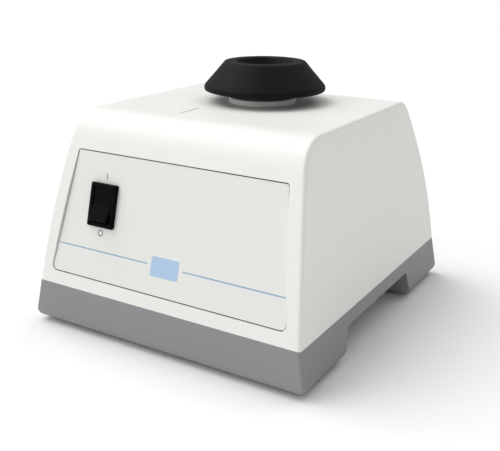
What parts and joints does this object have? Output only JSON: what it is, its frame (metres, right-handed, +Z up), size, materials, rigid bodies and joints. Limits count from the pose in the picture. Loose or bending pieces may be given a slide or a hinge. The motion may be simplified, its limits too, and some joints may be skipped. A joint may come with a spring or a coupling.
{
  "type": "vortex mixer",
  "caption": "Bench-top vortex mixer: a white tapered housing on a grey tray with hand grips, a black rocker switch, and a black rubber cup that orbits to stir a tube.",
  "frame": {"origin": "on the bench, under the middle of the machine's outline", "axes": "+X to the right of someone facing the front, +Y to the back, +Z up"},
  "size_m": [0.1498, 0.166, 0.123],
  "materials": {
    "white_shell": "satin",
    "grey_tray": "satin",
    "label_sheet": "satin",
    "black_switch": "satin",
    "black_plastic": "matte",
    "black_rubber": "matte",
    "zinc_steel": "satin",
    "ground_steel": "polished",
    "motor_paint": "satin",
    "core_steel": "matte",
    "copper_coil": "gloss",
    "brass_tabs": "satin",
    "cast_aluminium": "satin",
    "board_green": "satin",
    "capacitor_grey": "satin",
    "terminal_cream": "satin"
  },
  "bodies": {
    "casing": {"housing": "white_shell", "base_tray": "grey_tray", "case_screws": "zinc_steel", "front_label": "label_sheet", "switch_body": "black_switch", "switch_terminals": "brass_tabs", "power_inlet": "black_plastic", "inlet_pins": "brass_tabs", "inlet_screws": "zinc_steel", "ballast_plate": "zinc_steel", "plate_screws": "zinc_steel", "motor_bracket": "zinc_steel", "damper_bolts": "zinc_steel", "motor_can": "motor_paint", "motor_screws": "zinc_steel", "motor_end_plate": "cast_aluminium", "end_plate_screws": "zinc_steel", "stator_core": "core_steel", "stator_windings": "copper_coil", "drive_collar": "white_shell", "anti_turn_studs": "ground_steel", "stud_sleeves": "black_rubber", "circuit_board": "board_green", "board_standoffs": "brass_tabs", "run_capacitor": "capacitor_grey", "terminal_block": "terminal_cream", "lower_bearing_outer": "ground_steel", "upper_bearing_outer": "ground_steel", "foot_front_left": "black_rubber", "damper_front_left": "black_rubber", "foot_rear_left": "black_rubber", "damper_rear_left": "black_rubber", "foot_front_right": "black_rubber", "damper_front_right": "black_rubber", "foot_rear_right": "black_rubber", "damper_rear_right": "black_rubber"},
    "drive": {"motor_shaft": "ground_steel", "rotor_core": "core_steel", "lower_bearing_inner": "ground_steel", "upper_bearing_inner": "ground_steel", "crank_hub": "ground_steel", "hub_set_screw": "zinc_steel", "counterweight": "ground_steel", "crank_pin": "ground_steel", "head_bearing_inner": "ground_steel", "pin_clip": "zinc_steel"},
    "head": {"cup_carrier": "cast_aluminium", "cup": "black_rubber", "head_bearing_outer": "ground_steel"},
    "rocker": {"switch_rocker": "black_switch"}
  },
  "joints": [
    {"name": "drive_spin", "type": "hinge", "parent": "casing", "child": "drive", "pos_m": [0, 0.00975, 0.0759], "axis": [0, 0, 1], "continuous": true},
    {"name": "head_counter_turn", "type": "hinge", "parent": "drive", "child": "head", "pos_m": [0, 0.012, 0.083], "axis": [0, 0, 1], "continuous": true},
    {"name": "rocker_tilt", "type": "hinge", "parent": "casing", "child": "rocker", "pos_m": [-0.0376, -0.06982, 0.0621], "axis": [1, 0, 0], "range_deg": [0, 18]}
  ],
  "couplings": [
    {"joint": "head_counter_turn", "follows": "drive_spin", "ratio": -1}
  ]
}
